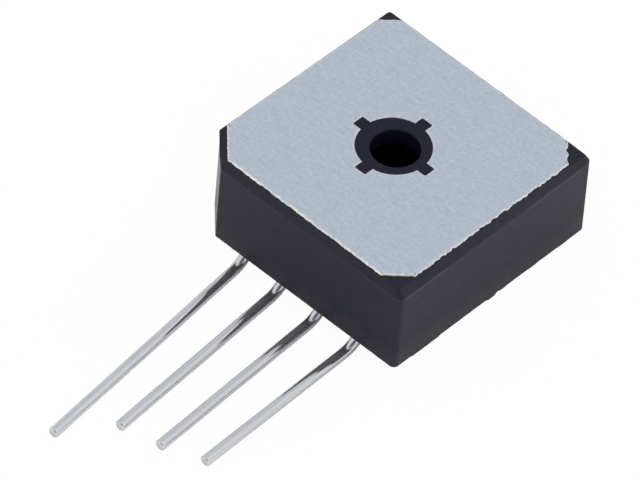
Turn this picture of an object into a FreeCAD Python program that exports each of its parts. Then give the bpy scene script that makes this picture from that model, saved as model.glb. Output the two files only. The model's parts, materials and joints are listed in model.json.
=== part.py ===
import FreeCAD, Part
import math
import os
import Sketcher

from FreeCAD import Placement, Rotation, Vector

# Square bridge rectifier with an aluminium mounting plate and four wire leads.
# The origin is on the axis of the mounting hole, in the outer face of the plate.
# +Z points out of the plate, and the leads leave the open side and run towards -Y.

doc = FreeCAD.newDocument("bridge_rectifier")
sheet = doc.addObject("Spreadsheet::Sheet", "Sizes")

SIZES = [
    # Moulded housing
    ("body_width", 28.55, "across the flats at the ridge line"),
    ("body_height", 11.4, "plate face to the rim of the open side"),
    ("face_step", 0.15, "how far the plastic round the plate lies below its face"),
    ("ridge_depth", 1.5, "plate face down to the ridge line"),
    ("band_taper", 0.345, "how far the band leans in from the ridge to the plate"),
    ("wall_draft", 0.075, "how far the wall leans out from the ridge to the rim"),
    ("wall", 1.0, "thickness of the side walls at the rim"),
    ("cavity_draft", 0.2, "how much narrower each side of the cavity is at its floor"),
    ("corner_cut", 3.25, "leg of the cut that marks the positive corner, at the ridge line"),
    ("edge_radius", 0.4, "rounding of the upright edges"),
    ("rim_bevel", 0.15, "bevel of the rim's outer edge"),
    ("ledge_reach", 0.95, "how far the ledge behind the plate stands into the cavity"),
    # Aluminium plate
    ("plate_thickness", 1.5, "sheet thickness"),
    ("plate_skin", 0.1, "plastic left outside the plate at its face"),
    ("cut_positive", 3.52, "leg of the plate's corner cut at the positive corner"),
    ("cut_negative", 2.5, "the same at the negative corner"),
    ("cut_far_left", 1.72, "the same at the far left corner"),
    ("cut_far_right", 2.3, "the same at the far right corner"),
    # Sleeve that lines the mounting hole
    ("bore", 5.3, "diameter of the mounting hole"),
    ("bore_bevel", 0.15, "bevel at the mouth of the hole"),
    ("collar", 8.0, "diameter of the ring that shows in the plate"),
    ("collar_shift", 0.25, "how far the ring sits off the axis of the hole"),
    ("key_reach", 5.0, "from the ring's centre to the tip of a key"),
    ("key_width", 1.4, "width of a key"),
    ("flange", 9.8, "diameter of the flange that locks the sleeve behind the plate"),
    ("flange_thickness", 0.8, "height of that flange"),
    # Ceramic insulator and copper frames
    ("insulator_gap", 0.2, "play of the insulator inside the ledge and round the flange"),
    ("insulator_thickness", 0.6, "sheet thickness, and the height of the ledge round it"),
    ("frame_thickness", 0.8, "copper of the frames and straps"),
    ("frame_margin", 0.6, "from the insulator's edge or the chips to the frame's edge"),
    ("frame_gap", 0.7, "from the flange to the frames"),
    ("tab_width", 1.8, "width of the tabs that carry the leads"),
    ("tab_margin", 0.9, "from a lead's axis to the end of its tab"),
    ("tab_cut", 0.55, "leg of the cuts at a tab's corners"),
    # Diode chips
    ("chip", 4.6, "side of a chip"),
    ("chip_thickness", 0.28, "thickness of a chip"),
    ("chip_column", 4.75, "from the side of the cavity in to the middle of the chips"),
    ("chip_row", 5.175, "from the row of leads in to the middle of the chips"),
    ("solder", 0.08, "thickness of the solder under and over a chip"),
    ("solder_margin", 0.2, "from the solder's edge to the edge of what it joins"),
    # Copper straps
    ("strap_width", 3.0, "width of the strap that bridges two chips"),
    ("strap_clearance", 1.4, "between a strap and the sleeve"),
    ("strap_inset", 0.1, "from a strap's end in to the edge of its chip"),
    ("arm_width", 2.0, "width of the arm that leads round the sleeve"),
    ("arm_drop", 1.8, "how far the arm is cranked away from its strap"),
    ("arm_clearance", 0.8, "between the arm and the sleeve"),
    ("crank_radius", 0.35, "rounding of the arm's bends"),
    # Wire leads
    ("wire", 1.2, "diameter of a lead"),
    ("lead_pitch", 5.3, "between neighbouring leads"),
    ("lead_inset", 1.075, "from the front of the cavity in to the row of leads"),
    ("bend_radius", 3.05, "at the centre line of a lead"),
    ("lead_slope", 6.0, "degrees by which the leads fall away from the rim's plane"),
    ("tip_bevel", 0.22, "bevel of a lead's tip"),
    ("run_positive", 27.7, "straight run of the positive lead"),
    ("run_ac_first", 22.4, "straight run of the first alternating lead"),
    ("run_ac_second", 21.4, "straight run of the second alternating lead"),
    ("run_negative", 19.7, "straight run of the negative lead"),
    ("turn_positive", 2.75, "degrees by which the positive lead points inwards"),
    ("turn_ac_first", 1.0, "degrees, the first alternating lead towards +X"),
    ("turn_ac_second", -0.4, "degrees, the second alternating lead towards -X"),
    ("turn_negative", -1.95, "degrees, the negative lead towards -X"),
    ("joint_height", 0.5, "height of the solder round a lead's inner end"),
    ("joint_spread", 0.2, "how far that solder spreads past the lead"),
    # Epoxy filling
    ("fill_recess", 0.6, "from the rim in to the surface of the filling"),
]

for row, (alias, number, meaning) in enumerate(SIZES, start=1):
    sheet.set(f"A{row}", alias)
    sheet.set(f"B{row}", str(number))
    sheet.set(f"C{row}", meaning)
    sheet.setAlias(f"B{row}", alias)
doc.recompute()

# Outlines, measured inwards from the ridge line
HALF = "(Sizes.body_width / 2)"
# How fast the cut's leg shrinks with the inset: with its face upright, or in step with the walls
UPRIGHT = "2"
IN_STEP = "(2 - sqrt(2))"
PLATE_HALF = f"({HALF} - Sizes.band_taper - Sizes.plate_skin)"
CAVITY_INSET = "(Sizes.wall - Sizes.wall_draft)"
FLOOR_INSET = f"({CAVITY_INSET} + Sizes.cavity_draft)"
LEDGE_INSET = f"({FLOOR_INSET} + Sizes.ledge_reach)"
INSULATOR_INSET = f"({LEDGE_INSET} + Sizes.insulator_gap)"

# Levels, from the plate towards the rim
PLATE_BACK = "(-Sizes.plate_thickness)"
FRAME_TOP = f"({PLATE_BACK} - Sizes.insulator_thickness)"
FRAME_FACE = f"({FRAME_TOP} - Sizes.frame_thickness)"
CHIP_TOP = f"({FRAME_FACE} - Sizes.solder)"
CHIP_FACE = f"({CHIP_TOP} - Sizes.chip_thickness)"
STRAP_TOP = f"({CHIP_FACE} - Sizes.solder)"
STRAP_FACE = f"({STRAP_TOP} - Sizes.frame_thickness)"
ARM_TOP = f"({STRAP_TOP} - Sizes.arm_drop)"
ARM_FACE = f"({ARM_TOP} - Sizes.frame_thickness)"
RIM = "(-Sizes.body_height)"
FILL_FACE = f"({RIM} + Sizes.fill_recess)"

# Places across and along the leads
COLLAR_X = "(-Sizes.collar_shift)"
FLANGE_EDGE = "(Sizes.flange / 2 + Sizes.collar_shift)"
LEAD_ROW = f"({FLOOR_INSET} + Sizes.lead_inset - {HALF})"
TAB_END = f"({LEAD_ROW} - Sizes.tab_margin)"
CHIP_INNER = f"({HALF} - {FLOOR_INSET} - Sizes.chip_column - Sizes.chip / 2)"
CHIP_OUTER = f"({CHIP_INNER} + Sizes.chip)"
CHIP_NEAR = f"(-({LEAD_ROW}) - Sizes.chip_row - Sizes.chip / 2)"
CHIP_FAR = f"({CHIP_NEAR} + Sizes.chip)"
FRAME_OUTER = f"({HALF} - {INSULATOR_INSET} - Sizes.frame_margin)"
FRAME_INNER = f"({FLANGE_EDGE} + Sizes.frame_gap)"
FRAME_REACH = f"({CHIP_FAR} + Sizes.frame_margin)"
STRAP_OUTER = f"({CHIP_OUTER} - Sizes.strap_inset)"
STRAP_NEAR = "(Sizes.collar / 2 + Sizes.strap_clearance)"
STRAP_FAR = f"({STRAP_NEAR} + Sizes.strap_width)"
ARM_INNER = "(Sizes.collar / 2 + Sizes.arm_clearance)"
ARM_END = f"({LEAD_ROW} + Sizes.wire / 2 + Sizes.arm_clearance)"

# The straight runs lie in one plane with the rim's far edge, so the part rests on both
SLOPE = "Sizes.lead_slope"
RUN_Y = f"({LEAD_ROW} - Sizes.bend_radius * (1 - sin({SLOPE})))"
RUN_Z = (
    f"({RIM} - tan({SLOPE}) * ({HALF} + Sizes.wall_draft - {RUN_Y})"
    f" + Sizes.wire / 2 / cos({SLOPE}))"
)
BEND_Z = f"({RUN_Z} + Sizes.bend_radius * cos({SLOPE}))"

# Places of the outer and the inner pair of leads in the row, in pitches from its middle
OUTER_PLACE = 1.5
INNER_PLACE = 0.5

# Name, place in the row, level of the inner end, and own sizes
LEADS = [
    ("positive", -OUTER_PLACE, FRAME_FACE, "Sizes.run_positive", "Sizes.turn_positive"),
    ("ac_1", -INNER_PLACE, STRAP_FACE, "Sizes.run_ac_first", "Sizes.turn_ac_first"),
    ("ac_2", INNER_PLACE, ARM_FACE, "Sizes.run_ac_second", "Sizes.turn_ac_second"),
    ("negative", OUTER_PLACE, FRAME_FACE, "Sizes.run_negative", "Sizes.turn_negative"),
]

# Side of the hole and row of each chip
CHIP_SIGNS = [(-1, -1), (-1, 1), (1, -1), (1, 1)]


def value(expression):
    """Number that an expression over the sheet gives now."""
    return float(sheet.evalExpression(expression))


def new_body(name):
    body = doc.addObject("PartDesign::Body", name)
    body.Label = name
    return body


def origin_plane(body, role):
    for feature in body.Origin.OriginFeatures:
        if feature.Role == role:
            return feature
    raise ValueError(f"{body.Label} has no plane {role}")


def new_sketch(body, name, role="XY_Plane", height=None):
    """Sketch on one of the body's own origin planes, lifted along its normal."""
    sketch = body.newObject("Sketcher::SketchObject", name)
    sketch.AttachmentSupport = [(origin_plane(body, role), "")]
    sketch.MapMode = "FlatFace"
    if height:
        sketch.AttachmentOffset = Placement(Vector(0, 0, value(height)), Rotation())
        sketch.setExpression("AttachmentOffset.Base.z", height)
    return sketch


def bind(sketch, constraint, expression):
    index = sketch.addConstraint(constraint)
    sketch.setExpression(f"Constraints[{index}]", expression)


def fix_point(sketch, geometry, end, point):
    """Ties a point to a pair of expressions, or to an axis where one is zero."""
    for kind, axis, expression in zip(("DistanceX", "DistanceY"), (-2, -1), point):
        if expression == "0":
            sketch.addConstraint(Sketcher.Constraint("PointOnObject", geometry, end, axis))
        else:
            distance = Sketcher.Constraint(kind, -1, 1, geometry, end, value(expression))
            bind(sketch, distance, expression)


def add_chain(sketch, points, closed):
    """Straight edges through pairs of expressions; gives the index of the first."""
    corners = [Vector(value(x), value(y), 0) for x, y in points]
    ends = corners[1:] + corners[:1] if closed else corners[1:]
    first = sketch.GeometryCount
    for start, end in zip(corners, ends):
        sketch.addGeometry(Part.LineSegment(start, end), False)
    last = first + len(ends) - 1
    for index in range(first, last):
        sketch.addConstraint(Sketcher.Constraint("Coincident", index, 2, index + 1, 1))
    if closed:
        sketch.addConstraint(Sketcher.Constraint("Coincident", last, 2, first, 1))
    else:
        fix_point(sketch, last, 2, points[-1])
    for index, point in zip(range(first, last + 1), points):
        fix_point(sketch, index, 1, point)
    return first


def add_rectangle(sketch, low_x, low_y, high_x, high_y):
    corners = [(low_x, low_y), (high_x, low_y), (high_x, high_y), (low_x, high_y)]
    add_chain(sketch, corners, closed=True)


def add_circle(sketch, diameter, centre=("0", "0")):
    middle = Vector(value(centre[0]), value(centre[1]), 0)
    circle = Part.Circle(middle, Vector(0, 0, 1), value(diameter) / 2)
    index = sketch.addGeometry(circle, False)
    fix_point(sketch, index, 3, centre)
    bind(sketch, Sketcher.Constraint("Diameter", index, value(diameter)), diameter)


def body_corners(inset, shrinkage):
    """Corners of the body's outline, each with the direction of the side that follows it."""
    side = f"({HALF} - {inset})"
    leg = f"(Sizes.corner_cut - {inset} * {shrinkage})"
    diagonal = math.sqrt(0.5)
    return [
        (f"-{side} + {leg}", f"-{side}", (1, 0)),
        (side, f"-{side}", (0, 1)),
        (side, side, (-1, 0)),
        (f"-{side}", side, (0, -1)),
        (f"-{side}", f"-{side} + {leg}", (diagonal, -diagonal)),
    ]


def body_outline(sketch, inset):
    """Square with the positive corner cut off, a given distance inside the ridge line."""
    add_chain(sketch, [(x, y) for x, y, _ in body_corners(inset, IN_STEP)], closed=True)


def rounded_body_outline(sketch, inset, radius):
    """Outer outline with every corner rounded; the cut's face stands upright through them all."""
    corners = body_corners(inset, UPRIGHT)
    starts = []
    ends = []
    for index, (x, y, leaving) in enumerate(corners):
        arriving = corners[index - 1][2]
        # An arc starts at the radius times the tangent of half the turn before the corner
        half_turn = math.acos(arriving[0] * leaving[0] + arriving[1] * leaving[1]) / 2
        reach = f"({radius} * {math.tan(half_turn)!r})"
        ends.append((f"{x} - {arriving[0]!r} * {reach}", f"{y} - {arriving[1]!r} * {reach}"))
        starts.append((f"{x} + {leaving[0]!r} * {reach}", f"{y} + {leaving[1]!r} * {reach}"))
    sides = []
    for index, start in enumerate(starts):
        end = ends[(index + 1) % len(ends)]
        sides.append(add_chain(sketch, [start, end], closed=False))
    for index, side in enumerate(sides):
        following = sides[(index + 1) % len(sides)]
        begin = sketch.getPoint(side, 2)
        finish = sketch.getPoint(following, 1)
        leaving = corners[index][2]
        normal = Vector(-leaving[1], leaving[0], 0)
        centre = begin + normal * value(radius)
        middle = centre + ((begin + finish) / 2 - centre).normalize() * value(radius)
        arc = sketch.addGeometry(Part.Arc(begin, middle, finish), False)
        sketch.addConstraint(Sketcher.Constraint("Coincident", arc, 1, side, 2))
        sketch.addConstraint(Sketcher.Constraint("Coincident", arc, 2, following, 1))
        bind(sketch, Sketcher.Constraint("Radius", arc, value(radius)), radius)


def plate_outline(sketch):
    """Outline of the aluminium plate, with its four corner cuts."""
    side = PLATE_HALF
    add_chain(sketch, [
        (f"-{side} + Sizes.cut_positive", f"-{side}"),
        (f"{side} - Sizes.cut_negative", f"-{side}"),
        (side, f"-{side} + Sizes.cut_negative"),
        (side, f"{side} - Sizes.cut_far_right"),
        (f"{side} - Sizes.cut_far_right", side),
        (f"-{side} + Sizes.cut_far_left", side),
        (f"-{side}", f"{side} - Sizes.cut_far_left"),
        (f"-{side}", f"-{side} + Sizes.cut_positive"),
    ], closed=True)


def turned(x, y, quarters):
    """Pair of expressions turned by quarter turns about the ring's centre."""
    across, along = [(x, y), (f"-{y}", x), (f"-{x}", f"-{y}"), (y, f"-{x}")][quarters]
    return f"{COLLAR_X} + ({across})", f"({along})"


def keyed_outline(sketch):
    """Ring with four keys: three straight edges a key, and arcs of the ring between them."""
    half_key = "(Sizes.key_width / 2)"
    root = f"(sqrt((Sizes.collar / 2)^2 - {half_key}^2))"
    tip = "(Sizes.key_reach)"
    radius = value("Sizes.collar / 2")
    lean = math.asin(value(half_key) / radius)
    ring = Part.Circle(Vector(value(COLLAR_X), 0, 0), Vector(0, 0, 1), radius)
    keys = []
    arcs = []
    for quarters in range(4):
        flanks = [(root, f"-{half_key}"), (tip, f"-{half_key}"), (tip, half_key), (root, half_key)]
        points = [turned(x, y, quarters) for x, y in flanks]
        keys.append(add_chain(sketch, points, closed=False))
        start = quarters * math.pi / 2 + lean
        end = (quarters + 1) * math.pi / 2 - lean
        arcs.append(sketch.addGeometry(Part.ArcOfCircle(ring, start, end), False))
    for index, arc in enumerate(arcs):
        following = keys[(index + 1) % len(keys)]
        sketch.addConstraint(Sketcher.Constraint("Coincident", arc, 1, keys[index] + 2, 2))
        sketch.addConstraint(Sketcher.Constraint("Coincident", arc, 2, following, 1))
        bind(sketch, Sketcher.Constraint("Radius", arc, radius), "Sizes.collar / 2")


def pad(body, sketch, name, length):
    """Pad along the sketch's normal."""
    feature = body.newObject("PartDesign::Pad", name)
    feature.Profile = sketch
    feature.Length = value(length)
    feature.setExpression("Length", length)
    return feature


def check_less(body, before, name):
    """A cut that points away from the solid takes nothing off it."""
    doc.recompute()
    if not body.Shape.isValid() or not 0 < body.Shape.Volume < before:
        raise ValueError(f"{name} cuts nothing")


def pocket(body, sketch, name, depth):
    """Pocket against the sketch's normal."""
    doc.recompute()
    before = body.Shape.Volume
    feature = body.newObject("PartDesign::Pocket", name)
    feature.Profile = sketch
    feature.Length = value(depth)
    feature.setExpression("Length", depth)
    check_less(body, before, name)


def dress(body, kind, name, length, wanted):
    """Fillet or chamfer on those edges of the body's tip that the test picks."""
    doc.recompute()
    base = body.Tip
    edges = [f"Edge{i}" for i, edge in enumerate(base.Shape.Edges, start=1) if wanted(edge)]
    if not edges:
        raise ValueError(f"{name} finds no edge")
    feature = body.newObject(f"PartDesign::{kind}", name)
    feature.Base = (base, edges)
    dimension = "Radius" if kind == "Fillet" else "Size"
    setattr(feature, dimension, value(length))
    feature.setExpression(dimension, length)


def flat_piece(name, signs, across, along, low_z, thickness):
    """Flat rectangular piece in one quarter of the plan, between two pairs of distances."""
    box = doc.addObject("Part::Box", name)
    box.Label = name
    sides = (("Length", "x"), ("Width", "y"))
    for sign, (inner, outer), (size, axis) in zip(signs, (across, along), sides):
        box.setExpression(size, f"{outer} - ({inner})")
        low = inner if sign > 0 else f"-({outer})"
        box.setExpression(f"Placement.Base.{axis}", low)
    box.setExpression("Height", thickness)
    box.setExpression("Placement.Base.z", low_z)
    return box


def overlap(first, second):
    """Distances between which two pairs of distances both reach, less the solder's margin."""
    low = f"(max({first[0]}; {second[0]}) + Sizes.solder_margin)"
    high = f"(min({first[1]}; {second[1]}) - Sizes.solder_margin)"
    return low, high


def tab_outline(place, joins):
    """Tab round a lead, with cut corners, from its left root to its right one."""
    left = f"({place} * Sizes.lead_pitch - Sizes.tab_width / 2)"
    right = f"({place} * Sizes.lead_pitch + Sizes.tab_width / 2)"
    return [
        (left, joins),
        (left, f"{TAB_END} + Sizes.tab_cut"),
        (f"{left} + Sizes.tab_cut", TAB_END),
        (f"{right} - Sizes.tab_cut", TAB_END),
        (right, f"{TAB_END} + Sizes.tab_cut"),
        (right, joins),
    ]


def make_housing():
    """Moulded frame: drafted walls, a leaning band round the plate and a ledge behind it."""
    body = new_body("housing")
    sections = []
    for name, height, inset in [
        ("HousingRim", RIM, "(Sizes.rim_bevel - Sizes.wall_draft)"),
        ("HousingBrim", f"{RIM} + Sizes.rim_bevel", "(-Sizes.wall_draft)"),
        ("HousingRidge", "-Sizes.ridge_depth", "0"),
        ("HousingFace", "-Sizes.face_step", "Sizes.band_taper"),
    ]:
        section = new_sketch(body, name, height=height)
        rounded_body_outline(section, inset, "Sizes.edge_radius")
        sections.append(section)
    form = body.newObject("PartDesign::AdditiveLoft", "HousingForm")
    form.Profile = sections[0]
    form.Sections = sections[1:]
    form.Ruled = True

    seat = new_sketch(body, "PlateSeat")
    plate_outline(seat)
    pocket(body, seat, "PlatePocket", "Sizes.plate_thickness")
    window = new_sketch(body, "LedgeWindow")
    body_outline(window, LEDGE_INSET)
    pocket(body, window, "LedgePocket", f"-{FRAME_TOP}")

    cavity_rim = new_sketch(body, "CavityRim", height=RIM)
    body_outline(cavity_rim, CAVITY_INSET)
    cavity_floor = new_sketch(body, "CavityFloor", height=FRAME_TOP)
    body_outline(cavity_floor, FLOOR_INSET)
    doc.recompute()
    before = body.Shape.Volume
    cavity = body.newObject("PartDesign::SubtractiveLoft", "Cavity")
    cavity.Profile = cavity_rim
    cavity.Sections = [cavity_floor]
    cavity.Ruled = True
    check_less(body, before, "Cavity")
    return body


def make_plate():
    """Aluminium mounting plate with a keyed hole for the sleeve."""
    body = new_body("base_plate")
    blank = new_sketch(body, "PlateBlank", height=PLATE_BACK)
    plate_outline(blank)
    pad(body, blank, "PlatePad", "Sizes.plate_thickness")
    hole = new_sketch(body, "PlateHole")
    keyed_outline(hole)
    pocket(body, hole, "PlateHolePocket", "Sizes.plate_thickness")
    return body


def make_sleeve():
    """Moulded sleeve: keyed ring in the plate, a locking flange and a tube to the rim."""
    body = new_body("bore_sleeve")
    ring = new_sketch(body, "SleeveRing", height=PLATE_BACK)
    keyed_outline(ring)
    pad(body, ring, "SleeveRingPad", "Sizes.plate_thickness")
    flange = new_sketch(body, "SleeveFlange", height=f"{PLATE_BACK} - Sizes.flange_thickness")
    add_circle(flange, "Sizes.flange", (COLLAR_X, "0"))
    pad(body, flange, "SleeveFlangePad", "Sizes.flange_thickness")
    tube = new_sketch(body, "SleeveTube", height=RIM)
    add_circle(tube, "Sizes.collar", (COLLAR_X, "0"))
    pad(body, tube, "SleeveTubePad", "Sizes.body_height - Sizes.plate_thickness")
    bore = new_sketch(body, "SleeveBore")
    add_circle(bore, "Sizes.bore")
    pocket(body, bore, "SleeveBorePocket", "Sizes.body_height")
    mouth = value("Sizes.bore")
    dress(
        body, "Chamfer", "SleeveBevel", "Sizes.bore_bevel",
        lambda edge: math.isclose(edge.BoundBox.ZMin, 0, abs_tol=1e-4)
        and math.isclose(edge.BoundBox.XLength, mouth, abs_tol=1e-3),
    )
    return body


def make_insulator():
    """Ceramic sheet between the plate and the live copper."""
    body = new_body("insulator")
    sheet_outline = new_sketch(body, "InsulatorSheet", height=FRAME_TOP)
    body_outline(sheet_outline, INSULATOR_INSET)
    pad(body, sheet_outline, "InsulatorPad", "Sizes.insulator_thickness")
    hole = new_sketch(body, "InsulatorHole", height=PLATE_BACK)
    add_circle(hole, "Sizes.flange + 2 * Sizes.insulator_gap", (COLLAR_X, "0"))
    pocket(body, hole, "InsulatorHolePocket", "Sizes.insulator_thickness")
    return body


def make_frame(name, side):
    """Copper frame along one side: pads for two chips and a tab for its lead."""
    body = new_body(name)
    outline = new_sketch(body, f"{name}_outline", height=FRAME_FACE)
    points = [
        (FRAME_INNER, f"-{FRAME_REACH}"),
        *tab_outline(OUTER_PLACE, f"-{FRAME_REACH}"),
        (FRAME_OUTER, f"-{FRAME_REACH}"),
        (FRAME_OUTER, FRAME_REACH),
        (FRAME_INNER, FRAME_REACH),
    ]
    if side < 0:
        points = [(f"-({x})", y) for x, y in points]
    add_chain(outline, points, closed=True)
    pad(body, outline, f"{name}_pad", "Sizes.frame_thickness")
    return body


def make_front_strap():
    """Copper strap across the two front chips, with a tab for the first alternating lead."""
    body = new_body("ac_strap_1")
    outline = new_sketch(body, "FrontStrapOutline", height=STRAP_FACE)
    add_chain(outline, [
        (f"-{STRAP_OUTER}", f"-{STRAP_FAR}"),
        *tab_outline(-INNER_PLACE, f"-{STRAP_FAR}"),
        (STRAP_OUTER, f"-{STRAP_FAR}"),
        (STRAP_OUTER, f"-{STRAP_NEAR}"),
        (f"-{STRAP_OUTER}", f"-{STRAP_NEAR}"),
    ], closed=True)
    pad(body, outline, "FrontStrapPad", "Sizes.frame_thickness")
    return body


def make_rear_strap():
    """Copper strap across the two rear chips, with an arm cranked over the front strap."""
    body = new_body("ac_strap_2")
    bar = new_sketch(body, "RearStrapBar", height=STRAP_FACE)
    add_rectangle(bar, f"-{STRAP_OUTER}", STRAP_NEAR, STRAP_OUTER, STRAP_FAR)
    pad(body, bar, "RearStrapPad", "Sizes.frame_thickness")

    arm = new_sketch(body, "RearStrapArm", role="YZ_Plane", height=ARM_INNER)
    add_chain(arm, [
        (STRAP_NEAR, STRAP_TOP),
        (f"{STRAP_NEAR} - Sizes.frame_thickness", STRAP_TOP),
        (f"{STRAP_NEAR} - Sizes.frame_thickness", ARM_TOP),
        (ARM_END, ARM_TOP),
        (ARM_END, ARM_FACE),
        (STRAP_NEAR, ARM_FACE),
    ], closed=True)
    pad(body, arm, "RearStrapArmPad", "Sizes.arm_width")

    foot = new_sketch(body, "RearStrapFoot", height=ARM_FACE)
    tab = tab_outline(INNER_PLACE, ARM_END)
    inner_side = f"{ARM_END} + Sizes.arm_width"
    add_chain(foot, [
        *tab[1:],
        (ARM_INNER, ARM_END),
        (ARM_INNER, inner_side),
        (tab[0][0], inner_side),
    ], closed=True)
    pad(body, foot, "RearStrapFootPad", "Sizes.frame_thickness")

    bends = [
        (value(f"{STRAP_NEAR} - Sizes.frame_thickness"), value(STRAP_TOP)),
        (value(f"{STRAP_NEAR} - Sizes.frame_thickness"), value(ARM_TOP)),
        (value(STRAP_NEAR), value(ARM_FACE)),
    ]

    def is_bend(edge):
        box = edge.BoundBox
        return any(
            math.isclose(box.YMin, y, abs_tol=1e-4) and math.isclose(box.YMax, y, abs_tol=1e-4)
            and math.isclose(box.ZMin, z, abs_tol=1e-4) and math.isclose(box.ZMax, z, abs_tol=1e-4)
            for y, z in bends
        )

    dress(body, "Fillet", "RearStrapBends", "Sizes.crank_radius", is_bend)
    return body


def make_chip_stacks():
    """Four diode chips, each soldered to its frame and to its strap."""
    nodes = []
    across = (CHIP_INNER, CHIP_OUTER)
    along = (CHIP_NEAR, CHIP_FAR)
    on_frame = (overlap(across, (FRAME_INNER, FRAME_OUTER)), overlap(along, along))
    on_strap = (overlap(across, across), overlap(along, (STRAP_NEAR, STRAP_FAR)))
    for number, signs in enumerate(CHIP_SIGNS, start=1):
        nodes.append(flat_piece(
            f"chip_{number}_frame_solder", signs, *on_frame, CHIP_TOP, "Sizes.solder"
        ))
        nodes.append(flat_piece(
            f"diode_chip_{number}", signs, across, along, CHIP_FACE, "Sizes.chip_thickness"
        ))
        nodes.append(flat_piece(
            f"chip_{number}_strap_solder", signs, *on_strap, STRAP_TOP, "Sizes.solder"
        ))
    return nodes


def place_in_row(body, place):
    body.Placement = Placement(
        Vector(value(f"{place} * Sizes.lead_pitch"), value(LEAD_ROW), 0), Rotation()
    )
    body.setExpression("Placement.Base.x", f"{place} * Sizes.lead_pitch")
    body.setExpression("Placement.Base.y", LEAD_ROW)


def make_lead(name, place, inner_end, run, turn):
    """Tinned wire: upright stretch, one bend and a straight run with a bevelled tip."""
    body = new_body(f"lead_{name}")
    path = new_sketch(body, f"{name}_path", role="YZ_Plane")
    radius = value("Sizes.bend_radius")
    slope = math.radians(value(SLOPE))
    bend_z = value(BEND_Z)
    middle = Vector(-radius, bend_z, 0)
    run_start = middle + radius * Vector(math.sin(slope), -math.cos(slope), 0)
    tip_y = f"-Sizes.bend_radius * (1 - sin({SLOPE})) - {run} * cos({SLOPE})"
    tip_z = f"{RUN_Z} - {run} * sin({SLOPE})"
    tip = Vector(value(tip_y), value(tip_z), 0)

    upright = add_chain(path, [("0", inner_end), ("0", BEND_Z)], closed=False)
    circle = Part.Circle(middle, Vector(0, 0, -1), radius)
    bend = path.addGeometry(
        Part.ArcOfCircle(circle, circle.parameter(Vector(0, bend_z, 0)),
                         circle.parameter(run_start)), False,
    )
    straight = path.addGeometry(Part.LineSegment(run_start, tip), False)
    # The arc may be stored either way round, so its ends are found by their place
    near, far = 1, 2
    if path.getPoint(bend, 1).distanceToPoint(Vector(0, bend_z, 0)) > radius / 2:
        near, far = 2, 1
    path.addConstraint(Sketcher.Constraint("Tangent", upright, 2, bend, near))
    bind(path, Sketcher.Constraint("Radius", bend, radius), "Sizes.bend_radius")
    path.addConstraint(Sketcher.Constraint("Tangent", straight, 1, bend, far))
    fix_point(path, straight, 2, (tip_y, tip_z))

    section = new_sketch(body, f"{name}_section", height=inner_end)
    add_circle(section, "Sizes.wire")
    sweep = body.newObject("PartDesign::AdditivePipe", f"{name}_sweep")
    sweep.Profile = section
    sweep.Spine = path
    low = value(tip_z)
    dress(
        body, "Chamfer", f"{name}_tip", "Sizes.tip_bevel",
        lambda edge: edge.BoundBox.ZMin < low and edge.BoundBox.YLength < value("Sizes.wire"),
    )
    place_in_row(body, place)
    body.Placement.Rotation = Rotation(Vector(0, 0, 1), value(turn))
    body.setExpression("Placement.Rotation.Angle", turn)
    return body


def make_joint(name, place, inner_end):
    """Ring of solder round a lead's inner end, wide on the copper and thin on the wire."""
    body = new_body(f"{name}_lead_solder")
    profile = new_sketch(body, f"{name}_solder_profile", role="XZ_Plane")
    wire = "(Sizes.wire / 2)"
    add_chain(profile, [
        (wire, inner_end),
        (wire, f"{inner_end} - Sizes.joint_height"),
        (f"{wire} + Sizes.joint_spread", inner_end),
    ], closed=True)
    ring = body.newObject("PartDesign::Revolution", f"{name}_solder_ring")
    ring.Profile = profile
    ring.ReferenceAxis = (profile, ["V_Axis"])
    ring.Angle = 360
    place_in_row(body, place)
    return body


def make_filling(others):
    """Epoxy that fills the cavity round everything in it, up to a little below the rim."""
    block = new_body("filling_block")
    outline = new_sketch(block, "FillingOutline", height=FILL_FACE)
    body_outline(outline, f"({CAVITY_INSET} / 2)")
    pad(block, outline, "FillingPad", f"{PLATE_BACK} - {FILL_FACE}")
    round_sleeve = new_sketch(block, "FillingHole", height=PLATE_BACK)
    add_circle(round_sleeve, "Sizes.collar", (COLLAR_X, "0"))
    pocket(block, round_sleeve, "FillingHolePocket", f"{PLATE_BACK} - {FILL_FACE}")
    held = doc.addObject("Part::MultiFuse", "held_in_filling")
    held.Shapes = others
    filling = doc.addObject("Part::Cut", "potting")
    filling.Label = "potting"
    filling.Base = block
    filling.Tool = held
    return filling


def main():
    nodes = [make_housing(), make_sleeve(), make_insulator()]
    nodes.append(make_frame("positive_frame", -1))
    nodes.append(make_frame("negative_frame", 1))
    nodes.append(make_front_strap())
    nodes.append(make_rear_strap())
    nodes.extend(make_chip_stacks())
    for name, place, inner_end, run, turn in LEADS:
        nodes.append(make_lead(name, place, inner_end, run, turn))
        nodes.append(make_joint(name, place, inner_end))
    nodes.append(make_filling(list(nodes)))
    nodes.append(make_plate())
    doc.recompute()

    for item in doc.Objects:
        if "Invalid" in item.State or "Error" in item.State:
            raise ValueError(f"{item.Label} failed: {item.State}")
    for node in nodes:
        shape = node.Shape
        if shape.isNull() or not shape.isValid() or len(shape.Solids) != 1:
            raise ValueError(f"{node.Label} is not one valid solid")

    os.makedirs("parts", exist_ok=True)
    for node in nodes:
        node.Shape.exportStep(f"parts/{node.Label}.step")
        box = node.Shape.BoundBox
        print(f"{node.Label}: {node.Shape.Volume:.3f} mm3, {len(node.Shape.Faces)} faces,"
              f" x {box.XMin:.2f} {box.XMax:.2f}, y {box.YMin:.2f} {box.YMax:.2f},"
              f" z {box.ZMin:.2f} {box.ZMax:.2f}")


main()
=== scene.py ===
import json
import math
from types import SimpleNamespace

import bmesh
import bpy
from bpy.props import FloatProperty, FloatVectorProperty, PointerProperty
from mathutils import Matrix, Vector, noise


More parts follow.
